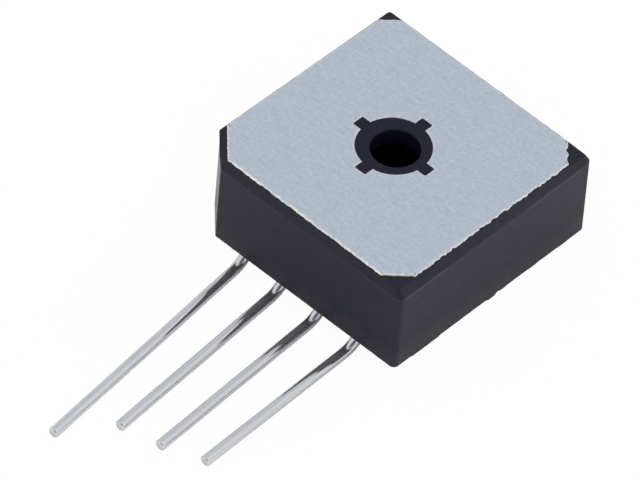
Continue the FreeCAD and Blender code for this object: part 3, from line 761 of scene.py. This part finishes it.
def lead_route(name):
    """Foot, bend and straight run of a lead, from its box and its mount in the frame."""
    low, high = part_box(name)
    mount = MOUNTS[f"{name}_end"]
    radius = mount["dims"]["r_mm"] * MM
    run = mount["dims"]["length_mm"] * MM
    axis = Vector(mount["axis"]).normalized()
    flat = Vector((axis.x, axis.y, 0)).normalized()
    slope = math.asin(-axis.z)
    start = Vector(mount["pos_m"]) - axis * (run / 2)
    foot_y = high.y - radius
    reach = (start.y - foot_y) / flat.y
    bend = reach / (1 - math.sin(slope))
    foot = Vector((start.x - flat.x * reach, foot_y, high.z))
    centre = Vector((foot.x + flat.x * bend, foot_y + flat.y * bend,
                     start.z + bend * math.cos(slope)))
    upright = foot.z - centre.z
    sweep = math.pi / 2 - slope
    return SimpleNamespace(
        radius=radius, foot=foot, upright=upright, centre=centre, bend=bend, sweep=sweep,
        flat=flat, side=Vector((flat.y, -flat.x, 0)), start=start, axis=axis, run=run,
        # Length along the wire up to the end of the bend
        bent=upright + bend * sweep,
        # From the run's end to the end of the lead's box, for the rounded tip
        room=(low.y - start.y) / axis.y - run - radius * abs(axis.z),
    )


def towards_camera(own):
    """Direction from the part to the camera."""
    return Vector((
        math.sin(own.azimuth) * math.cos(own.elevation),
        -math.cos(own.azimuth) * math.cos(own.elevation),
        math.sin(own.elevation),
    ))


# Pieces

class RECTIFIER_OT_housing(bpy.types.Operator):
    """Build the moulded housing with its soft ridge, ragged rim and the seat of the plate"""

    bl_idname = "rectifier.housing"
    bl_label = "Housing"

    def execute(self, context):
        own = context.scene.rectifier_housing
        plate = context.scene.rectifier_plate
        ridge = BODY_HIGH.x - own.wall_draft
        bm = bmesh.new()
        pocket = plate_loop(bm, plate, -own.sink)
        pocket_floor = follow(bm, pocket, [(1, -own.sink), (1, PLATE_BACK_Z)])
        # The cut's face stands upright outside and keeps to the walls inside
        rings = [
            body_ring(bm, own, half, own.corner_cut - 2 * (ridge - half), z)
            for half, z in self.outside(own)
        ]
        rings += [
            body_ring(bm, own, half, inner_cut(own, half), z) for half, z in self.inside(own)
        ]
        seat(bm, rings[0], plate)
        for upper, lower in zip(rings, rings[1:]):
            bmesh.ops.bridge_loops(bm, edges=upper + lower)
        close_between(bm, rings[0] + pocket)
        close_between(bm, rings[-1] + pocket_floor)
        self.lower_corner(bm, own)
        self.rough_rim(bm, own)
        self.paint_ridge_highlight(bm)
        self.mark_cut(bm, own)
        material = moulding_material("black_moulding", own, ior=1.43)
        finish_piece(bm, "moulded_housing", material, "housing")
        return {"FINISHED"}

    @staticmethod
    def outside(own):
        """Half width and height of the outer rings, from the plate down to the rim."""
        rim = BODY_HIGH.x
        ridge = rim - own.wall_draft
        bevel = own.rim_radius
        wall = soften([
            Vector((ridge - own.band_inset, -own.sink)),
            Vector((ridge, -own.ridge_depth)),
            Vector((rim, RIM_Z)),
        ], own.ridge_radius, RIDGE_SEGMENTS)[:-1]
        # One ring three quarters down the wall, and three round the rim's edge
        return wall + [
            Vector((rim - 0.25 * own.wall_draft, RIM_Z * 0.75)),
            Vector((rim, RIM_Z + bevel)),
            Vector((rim - bevel * 0.3, RIM_Z + bevel * 0.3)),
            Vector((rim - bevel, RIM_Z)),
        ]

    @staticmethod
    def inside(own):
        """Half width and height of the inner rings, from the rim up to the plate's seat."""
        wall = BODY_HIGH.x - own.wall
        cavity = wall - own.cavity_draft
        ledge = cavity - own.ledge_reach
        bevel = own.rim_radius
        return ((wall + bevel, RIM_Z), (wall, RIM_Z + bevel), (cavity, LEDGE_Z),
                (ledge, LEDGE_Z), (ledge, PLATE_BACK_Z))

    @staticmethod
    def lower_corner(bm, own):
        """The far right corner: its face sinks a little and its ridge stands higher."""
        corner = Vector((BODY_HIGH.x, BODY_HIGH.y, 0))
        for vert in bm.verts:
            away = (vert.co - corner).to_2d().length
            if vert.co.z < -2 * own.ridge_depth or away > SINK_REACH:
                continue
            near = math.exp(-(away / SINK_SPREAD) ** 2)
            if vert.co.z > -own.sink - 0.01 * MM:
                vert.co += SINK_SHIFT * MM * near
            elif abs(vert.co.x) > BODY_HIGH.x - MM or abs(vert.co.y) > BODY_HIGH.x - MM:
                vert.co.z += RIDGE_RISE * MM * near

    @staticmethod
    def rough_rim(bm, own):
        """Uneven rim, with flash hanging on at the right side."""
        for vert in bm.verts:
            if vert.co.z > RIM_Z + own.rim_radius * 1.5:
                continue
            place = vert.co / RIM_WAVES
            lift = own.flash * min(1, max(0, 0.3 + noise.noise(Vector((place.x, place.y, 3)))))
            if vert.co.x > BODY_HIGH.x - own.wall / 2:
                y = vert.co.y / MM
                for start, end, hang in RIM_FLASH:
                    if start < y < end:
                        lift -= hang * MM * min(1, min(y - start, end - y) / FLASH_ENDS)
            vert.co.z += lift

    @staticmethod
    def paint_ridge_highlight(bm):
        """Marks how strongly the painted highlight along the ridge, standing also for the parting
        line, shows from place to place.
        """
        ridge_highlight = bm.verts.layers.float.new("ridge_highlight")
        for vert in bm.verts:
            for way, start, end, strength in RIDGE_HIGHLIGHT:
                along = vert.co.to_2d().dot(Vector((-way[1], way[0]))) / MM
                if vert.co.to_2d().dot(Vector(way)) > BODY_HIGH.x - MM and start <= along <= end:
                    ragged = noise.noise(Vector((along * -1.7, strength * 9, 0)))
                    vert[ridge_highlight] = strength * min(1, max(0, 0.85 + 0.5 * ragged))

    @staticmethod
    def mark_cut(bm, own):
        """Marks the face of the corner cut."""
        cut = bm.verts.layers.float.new("cut")
        face = own.corner_cut - 2 * (BODY_HIGH.x - own.wall_draft) + 0.02 * MM
        for vert in bm.verts:
            vert[cut] = vert.co.x + vert.co.y < face and vert.co.z < -own.ridge_depth


class RECTIFIER_OT_plate(bpy.types.Operator):
    """Build the aluminium plate with its rolled, ragged edge and the keyed hole"""

    bl_idname = "rectifier.plate"
    bl_label = "Mounting plate"

    def execute(self, context):
        own = context.scene.rectifier_plate
        sleeve = context.scene.rectifier_sleeve
        bm = bmesh.new()
        bare_highlight_mark = bm.verts.layers.float.new("edge")
        faces, backs = [], []
        for outline, settings, way in ((plate_loop, own, -1), (keyed_loop, sleeve, 1)):
            edges = outline(bm, settings, -own.edge_round)
            backs += follow(bm, edges, [(1, -own.edge_round), (1, PLATE_BACK_Z)])
            faces += self.roll(bm, edges, own, way, bare_highlight_mark)
        close_between(bm, faces)
        close_between(bm, backs)
        finish_piece(
            bm, "aluminium_plate", sheet_material(own), "base_plate", 50
        )
        return {"FINISHED"}

    @staticmethod
    def roll(bm, edges, own, way, bare_highlight_mark):
        """Rounded step from an upright edge to the plate's face, marked for bare metal and a
        painted highlight.
        """
        done_in, done_up = 0.0, 0.0
        for sine, cosine in quarter_turn()[1:]:
            back, up = own.edge_round * (1 - cosine), own.edge_round * sine
            verts, edges = step_out(bm, edges, way * (back - done_in), up - done_up)
            for vert in verts:
                vert[bare_highlight_mark] = KEYHOLE_BARE_HIGHLIGHT if way > 0 else side_of(outward(vert))[3]
            done_in, done_up = back, up
        # The bare metal and its painted highlight fade out over a narrow flat strip
        verts, edges = step_out(bm, edges, way * own.bare_highlight_width, 0)
        for vert in verts:
            vert[bare_highlight_mark] = 0
        return edges


class RECTIFIER_OT_sleeve(bpy.types.Operator):
    """Build the sleeve of the mounting hole with its keyed ring, flange and tube"""

    bl_idname = "rectifier.sleeve"
    bl_label = "Hole sleeve"

    def execute(self, context):
        own = context.scene.rectifier_sleeve
        bore = own.bore / 2
        tube = own.collar / 2
        flange_z = PLATE_BACK_Z - own.flange_thickness
        centre = Vector((own.shift_x, own.shift_y, 0))
        bm = bmesh.new()
        profile = [
            (bore + own.mouth * (1 - sine), -own.sink - own.mouth * (1 - cosine))
            for sine, cosine in quarter_turn()
        ]
        profile += [(bore, RIM_Z + own.mouth), (bore + own.mouth, RIM_Z)]
        mouth = round_loop(bm, *profile[0])
        foot = follow(bm, mouth, profile)
        wall = round_loop(bm, tube - own.mouth, RIM_Z, centre)
        shoulder = follow(bm, wall, [
            (tube - own.mouth, RIM_Z), (tube, RIM_Z + own.mouth), (tube, flange_z),
            (own.flange / 2, flange_z), (own.flange / 2, PLATE_BACK_Z),
        ], centre)
        ring = keyed_loop(bm, own, -own.sink)
        ring_back = follow(bm, ring, [(1, -own.sink), (1, PLATE_BACK_Z)])
        close_between(bm, foot + wall)
        close_between(bm, ring + mouth)
        close_between(bm, shoulder + ring_back)
        material = moulding_material("sleeve_moulding", context.scene.rectifier_housing, ior=1.36)
        finish_piece(bm, "hole_sleeve", material, "bore_sleeve")
        return {"FINISHED"}


class RECTIFIER_OT_leads(bpy.types.Operator):
    """Build the four tinned wires with their bends, drawing marks and rounded tips"""

    bl_idname = "rectifier.leads"
    bl_label = "Wire leads"

    def execute(self, context):
        own = context.scene.rectifier_leads
        material = wire_material(own)
        for number, name in enumerate(LEADS):
            self.build(own, name, number, material)
        return {"FINISHED"}

    @staticmethod
    def extend(bm, edges, step, along, done):
        """Extrudes the wire's end and marks its new points with the length so far."""
        verts, edges = extrude(bm, edges)
        bmesh.ops.translate(bm, verts=verts, vec=step)
        for vert in verts:
            vert[along] = done
        return verts, edges

    @staticmethod
    def turn(bm, edges, route, along):
        """Turns the wire's end round the bend and marks the lengths there."""
        made = bmesh.ops.spin(
            bm, geom=edges, cent=route.centre, axis=route.side, angle=route.sweep,
            steps=BEND_STEPS, use_merge=False, use_duplicate=False,
        )
        for vert in bm.verts:
            if vert.co.z < route.centre.z - 1e-9:
                spoke = vert.co - route.centre
                turned = math.atan2(-spoke.z, -spoke.dot(route.flat))
                vert[along] = route.upright + route.bend * turned
        return free_edges(made["geom_last"])

    def round_tip(self, bm, edges, own, route, along, done):
        """Rounds the wire's end with rings that grow narrower, and closes it."""
        end = route.start + route.axis * route.run
        depth = min(own.tip_radius, max(0.05 * MM, route.room))
        before, width = 0.0, route.radius
        for sine, cosine in quarter_turn()[1:]:
            ahead = depth * sine
            narrower = route.radius - own.tip_radius * (1 - cosine)
            verts, edges = self.extend(
                bm, edges, route.axis * (ahead - before), along, done + ahead
            )
            bmesh.ops.scale(
                bm, verts=verts, vec=(narrower / width,) * 3,
                space=Matrix.Translation(-(end + route.axis * ahead)),
            )
            before, width = ahead, narrower
        bmesh.ops.contextual_create(bm, geom=edges)

    @staticmethod
    def wander(bm, own, number, route, along):
        """Lets the straight run wander to either side, each lead in its own way."""
        for vert in bm.verts:
            beyond = vert[along] - route.bent
            if beyond > 0:
                wave = noise.noise(Vector((beyond / SWAY_WAVES, number, 0)))
                vert.co += route.side * own.sway * min(1, beyond / SWAY_START) * wave

    def build(self, own, name, number, material):
        route = lead_route(name)
        bm = bmesh.new()
        around = bm.verts.layers.float_vector.new("around")
        along = bm.verts.layers.float.new("along")
        bmesh.ops.create_circle(
            bm, cap_ends=True, segments=WIRE_SEGMENTS, radius=route.radius,
            matrix=Matrix.Translation(route.foot),
        )
        for vert in bm.verts:
            vert[around] = vert.co - route.foot
        # Upright out of the filling, round the bend and straight on
        _, edges = self.extend(
            bm, bm.edges[:], Vector((0, 0, -route.upright)), along, route.upright
        )
        edges = self.turn(bm, edges, route, along)
        done = route.bent
        rings = round(route.run / own.ring_step)
        for _ in range(rings):
            done += route.run / rings
            _, edges = self.extend(bm, edges, route.axis * (route.run / rings), along, done)
        self.round_tip(bm, edges, own, route, along, done)
        self.wander(bm, own, number, route, along)
        finish_piece(bm, f"tinned_{name}", material, name, 50)


class RECTIFIER_OT_filling(bpy.types.Operator):
    """Build the raised edge of the epoxy where it wets the walls, the sleeve and the leads"""

    bl_idname = "rectifier.filling"
    bl_label = "Edge of the filling"

    def execute(self, context):
        own = context.scene.rectifier_filling
        housing = context.scene.rectifier_housing
        sleeve = context.scene.rectifier_sleeve
        hidden = own.hidden
        # Runs away from the wall that is wetted and heights over the epoxy's face
        slope = [(-hidden, own.climb), (0.08 * own.reach, 0.55 * own.climb),
                 (0.35 * own.reach, 0.2 * own.climb), (own.reach, -hidden), (-hidden, -hidden)]
        depth = (FILL_Z - RIM_Z) / (LEDGE_Z - RIM_Z)
        wall = BODY_HIGH.x - housing.wall - housing.cavity_draft * depth
        bm = bmesh.new()
        rings = [
            body_ring(bm, housing, wall - run, inner_cut(housing, wall - run), FILL_Z - rise)
            for run, rise in slope
        ]
        for upper, lower in zip(rings, rings[1:] + rings[:1]):
            bmesh.ops.bridge_loops(bm, edges=upper + lower)
        stems = [(Vector((sleeve.shift_x, sleeve.shift_y, 0)), sleeve.collar / 2, BORE_SEGMENTS)]
        for name in LEADS:
            route = lead_route(name)
            stems.append((Vector((route.foot.x, route.foot.y, 0)), route.radius, WETTED_SEGMENTS))
        for centre, radius, segments in stems:
            profile = [(radius + run, FILL_Z - rise) for run, rise in slope + slope[:1]]
            follow(bm, round_loop(bm, *profile[0], centre, segments), profile, centre)
        material = mottled_material("cast_epoxy_edge", *FINISHES["potting"][1:])
        finish_piece(bm, "epoxy_edge", material, None)
        return {"FINISHED"}


class RECTIFIER_OT_inner(bpy.types.Operator):
    """Give the filling and the sealed inner pieces their materials"""

    bl_idname = "rectifier.inner"
    bl_label = "Filling and inner pieces"

    def execute(self, context):
        materials = {kind: mottled_material(*finish) for kind, finish in FINISHES.items()}
        for name, node in frame["nodes"].items():
            material = materials.get(self.kind_of(name))
            if material:
                for slot in node.material_slots:
                    slot.material = material
        return {"FINISHED"}

    @staticmethod
    def kind_of(name):
        """What a node of the frame is made of, or its own name where no kind is shared."""
        if name.endswith("solder"):
            return "solder"
        if name.startswith("diode_chip"):
            return "chip"
        if "frame" in name or "strap" in name:
            return "copper"
        return name


class RECTIFIER_OT_stage(bpy.types.Operator):
    """Set up the white floor, the soft studio light and the photograph's camera"""

    bl_idname = "rectifier.stage"
    bl_label = "Stage"

    def execute(self, context):
        own = context.scene.rectifier_stage
        up = Vector((0, -math.sin(own.floor_tilt), math.cos(own.floor_tilt)))
        self.floor(own, up)
        self.lamps(context, own)
        self.world(context, own)
        self.camera(context, own, up)
        context.scene.view_settings.view_transform = "Standard"
        return {"FINISHED"}

    @staticmethod
    def floor(own, up):
        """Large plane through the rim's far edge, on which the leads lie too."""
        bm = bmesh.new()
        bmesh.ops.create_grid(bm, x_segments=1, y_segments=1, size=own.floor_reach)
        bmesh.ops.rotate(
            bm, verts=bm.verts, cent=(0, 0, 0),
            matrix=Matrix.Rotation(own.floor_tilt, 3, "X"),
        )
        far_edge = Vector((0, BODY_HIGH.y, RIM_Z))
        bmesh.ops.translate(bm, verts=bm.verts, vec=far_edge - up * 0.01 * MM)
        # Matt white card; it shows white to the camera but keeps a soft shadow
        material = new_material("white_card")
        card = add_node(material, "ShaderNodeBsdfDiffuse", {
            "Color": tuple(own.floor_white) + (1,),
        })
        glow = add_node(material, "ShaderNodeEmission", {
            "Color": (1, 1, 1, 1), "Strength": 1,
        })
        rays = add_node(material, "ShaderNodeLightPath")
        weight = add_node(material, "ShaderNodeMath", {
            0: rays.outputs["Is Camera Ray"], 1: own.floor_glow,
        }, operation="MULTIPLY")
        mixed = add_node(material, "ShaderNodeMixShader", {
            "Fac": weight.outputs["Value"], 1: card.outputs["BSDF"], 2: glow.outputs["Emission"],
        })
        to_object(bm, "floor", finish_material(material, mixed))

    @staticmethod
    def lamps(context, own):
        """A large softbox over the part, a smaller one beside it and one behind it."""
        # Name, place and width in metres, and power
        for name, place, width, power in (
                ("softbox_over", Vector((0.10, -0.05, 0.70)), 0.9, own.key_power),
                ("softbox_side", Vector((0.60, -0.30, 0.35)), 0.5, own.side_power),
                ("softbox_behind", Vector((0.15, 0.55, 0.45)), 0.2, own.back_power)):
            lamp = bpy.data.lights.new(name, "AREA")
            lamp.shape = "SQUARE"
            lamp.size = width
            lamp.energy = power
            holder = bpy.data.objects.new(name, lamp)
            holder.location = place
            holder.rotation_euler = (-place).to_track_quat("-Z", "Y").to_euler()
            # Gloss mirrors the room's own tones, not the lamps
            holder.visible_glossy = False
            context.scene.collection.objects.link(holder)

    @staticmethod
    def world(context, own):
        """White room, greyer where the plate mirrors it and dark behind the camera."""
        world = bpy.data.worlds.new("white_room")
        world.use_nodes = True
        world.node_tree.nodes.clear()
        direction = add_node(world, "ShaderNodeTexCoord").outputs["Generated"]
        height = add_node(world, "ShaderNodeSeparateXYZ", {"Vector": direction})
        ramp = add_node(world, "ShaderNodeValToRGB", {"Fac": height.outputs["Z"]})
        # A little warmer and darker towards the ground, and white overhead
        elements = ramp.color_ramp.elements
        elements[0].color = linear("#EFE9DD") + (1,)
        for position, code in ((0.2, "#F6F3EE"), (0.5, "#FFFFFF")):
            elements.new(position).color = linear(code) + (1,)
        tone = ramp.outputs["Color"]
        # Two places in the room, each by its direction, how wide its core and its soft edge
        # are in degrees, and its tone
        front = towards_camera(own)
        for heading, core, edge, patch in (
                (Vector((-front.x, -front.y, front.z)), 22, 48, own.wall_tone),
                (front, 16, 38, own.front_tone)):
            towards = add_node(world, "ShaderNodeVectorMath", {
                0: direction, 1: tuple(heading.normalized()),
            }, operation="DOT_PRODUCT")
            inside = add_node(world, "ShaderNodeMapRange", {
                "Value": towards.outputs["Value"],
                "From Min": math.cos(math.radians(edge)),
                "From Max": math.cos(math.radians(core)),
                "To Min": 0, "To Max": 1,
            }, interpolation_type="SMOOTHSTEP")
            tone = add_node(world, "ShaderNodeMix", {
                "Factor": inside.outputs["Result"], "A": tone, "B": tuple(patch) + (1,),
            }, data_type="RGBA").outputs["Result"]
        # Gloss mirrors the room's tones; the card is lit by the same room as plain white
        # light, and the camera sees pure white past the floor
        rays = add_node(world, "ShaderNodeLightPath")
        room, fill, white = [
            add_node(world, "ShaderNodeBackground", {"Color": seen, "Strength": level})
            for seen, level in (
                (tone, own.room_level), ((1, 1, 1, 1), own.fill), ((1, 1, 1, 1), 1))
        ]
        lit = add_node(world, "ShaderNodeMixShader", {
            "Fac": rays.outputs["Is Glossy Ray"],
            1: fill.outputs["Background"], 2: room.outputs["Background"],
        })
        mixed = add_node(world, "ShaderNodeMixShader", {
            "Fac": rays.outputs["Is Camera Ray"],
            1: lit.outputs["Shader"], 2: white.outputs["Background"],
        })
        add_node(world, "ShaderNodeOutputWorld", {"Surface": mixed.outputs["Shader"]})
        context.scene.world = world

    @staticmethod
    def camera(context, own, up):
        """Long lens from the photograph's side, a little over the plate."""
        data = bpy.data.cameras.new("camera")
        data.sensor_width = 36
        data.lens = own.lens
        data.clip_end = 10
        holder = bpy.data.objects.new("camera", data)
        away = towards_camera(own)
        right = up.cross(away).normalized()
        level = Matrix((right, away.cross(right), away)).transposed()
        turned = level @ Matrix.Rotation(own.roll, 3, "Z")
        holder.matrix_world = Matrix.Translation(LOOK_AT + away * own.distance) @ turned.to_4x4()
        context.scene.collection.objects.link(holder)
        context.scene.camera = holder


OPERATORS = (
    RECTIFIER_OT_housing, RECTIFIER_OT_plate, RECTIFIER_OT_sleeve, RECTIFIER_OT_leads,
    RECTIFIER_OT_filling, RECTIFIER_OT_inner, RECTIFIER_OT_stage,
)


class RECTIFIER_PT_panel(bpy.types.Panel):
    """Lists the pieces of the rectifier and the stage"""

    bl_idname = "RECTIFIER_PT_panel"
    bl_label = "Bridge rectifier"
    bl_space_type = "VIEW_3D"
    bl_region_type = "UI"
    bl_category = "Rectifier"

    def draw(self, context):
        for operator in OPERATORS:
            self.layout.operator(operator.bl_idname)
        for name in SETTINGS:
            box = self.layout.box()
            group = getattr(context.scene, name)
            for prop in group.bl_rna.properties:
                if not prop.is_readonly and prop.identifier != "name":
                    box.prop(group, prop.identifier)


def register():
    for group in SETTINGS.values():
        bpy.utils.register_class(group)
    for operator in OPERATORS:
        bpy.utils.register_class(operator)
    bpy.utils.register_class(RECTIFIER_PT_panel)
    for name, group in SETTINGS.items():
        setattr(bpy.types.Scene, name, PointerProperty(type=group))


def unregister():
    for name in SETTINGS:
        delattr(bpy.types.Scene, name)
    bpy.utils.unregister_class(RECTIFIER_PT_panel)
    for operator in reversed(OPERATORS):
        bpy.utils.unregister_class(operator)
    for group in reversed(list(SETTINGS.values())):
        bpy.utils.unregister_class(group)


def main():
    register()
    bpy.ops.rectifier.housing()
    bpy.ops.rectifier.plate()
    bpy.ops.rectifier.sleeve()
    bpy.ops.rectifier.leads()
    bpy.ops.rectifier.filling()
    bpy.ops.rectifier.inner()
    bpy.ops.rectifier.stage()


if __name__ == "__main__":
    main()
